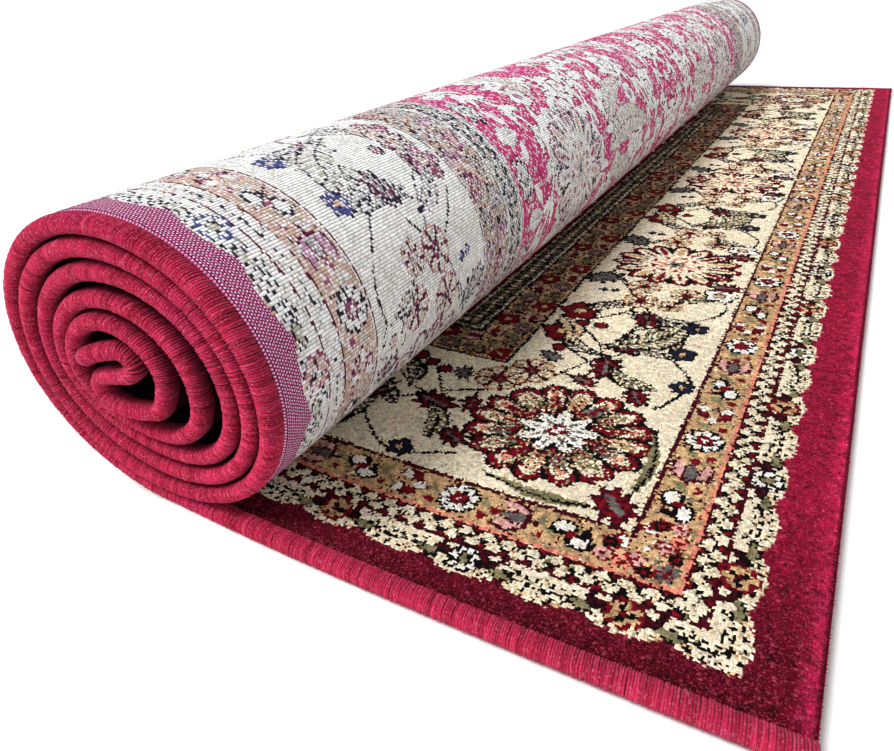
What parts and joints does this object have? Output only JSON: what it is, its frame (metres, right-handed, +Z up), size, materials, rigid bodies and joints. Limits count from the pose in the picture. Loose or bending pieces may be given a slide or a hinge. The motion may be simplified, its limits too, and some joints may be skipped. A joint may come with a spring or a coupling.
{
  "type": "rolled up pile rug",
  "caption": "Patterned pile rug, partly rolled up along its length with the pile inside, overcast long edges and a loose end lying flat.",
  "frame": {"origin": "on the surface the rug rests on, at the middle of the box round the whole object", "axes": "+Y along the roll's axis from the near end to the far end, +X from the roll towards the loose end's edge, +Z up"},
  "size_m": [0.4206, 1.506, 0.1739],
  "materials": {
    "pile": "cut pile with a floral border pattern, woven back paler",
    "binding_yarn": "overcast crimson yarn"
  },
  "bodies": {
    "root": {"carpet": "pile", "binding_near": "binding_yarn", "binding_far": "binding_yarn"}
  },
  "joints": []
}
